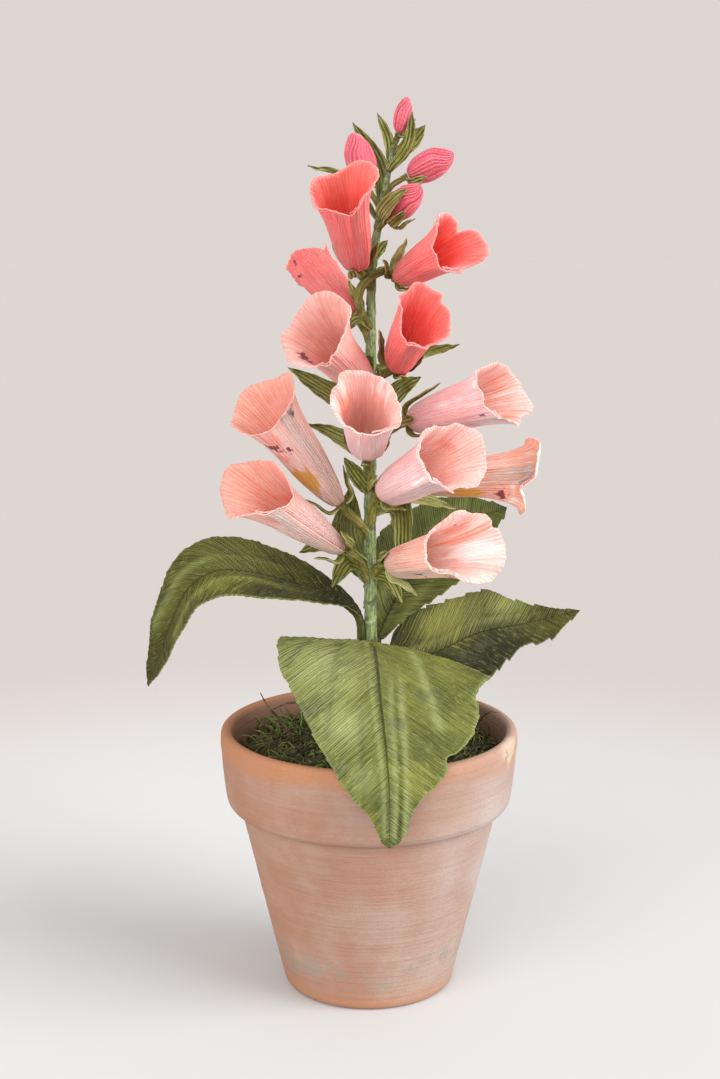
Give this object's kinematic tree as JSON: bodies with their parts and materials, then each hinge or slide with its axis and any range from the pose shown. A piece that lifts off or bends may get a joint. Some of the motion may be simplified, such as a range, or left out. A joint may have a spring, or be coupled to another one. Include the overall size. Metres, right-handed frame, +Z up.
{
  "type": "potted crepe-paper foxglove",
  "caption": "Handmade paper foxglove with hanging bells, buds and broad olive leaves on one tall stem, standing in moss in a tapered terracotta pot.",
  "frame": {"origin": "on the surface that the pot stands on, under the middle of the plant's box, which is within 2 mm of the pot's own axis", "axes": "+Z up along the stem; -Y the front of the plant, the side that most bells face; +X to the right of someone who looks at the front"},
  "size_m": [0.1577, 0.1275, 0.322],
  "materials": {
    "terracotta": "matte",
    "florists_foam": "matte",
    "dried_moss": "matte",
    "green_crepe": "satin",
    "olive_crepe": "satin",
    "coral_crepe": "matte",
    "pale_pink_crepe": "matte",
    "magenta_crepe": "matte"
  },
  "bodies": {
    "root": {"pot": "terracotta", "foam_plug": "florists_foam", "moss": "dried_moss", "stem": "green_crepe", "leaf_left": "olive_crepe", "leaf_front": "olive_crepe", "leaf_right": "olive_crepe", "leaf_back": "olive_crepe", "bell_coral_top": "coral_crepe", "bell_coral_right": "coral_crepe", "bell_coral_left": "coral_crepe", "bell_coral_middle": "coral_crepe", "bell_pale_upper_left": "pale_pink_crepe", "bell_pale_front": "pale_pink_crepe", "bell_pale_left": "pale_pink_crepe", "bell_pale_right": "pale_pink_crepe", "bell_pale_low_left": "pale_pink_crepe", "bell_pale_middle": "pale_pink_crepe", "bell_pale_far_right": "pale_pink_crepe", "bell_pale_low_right": "pale_pink_crepe", "bud_top": "magenta_crepe", "bud_right": "magenta_crepe", "bud_front": "magenta_crepe", "bud_left": "magenta_crepe"}
  },
  "joints": []
}
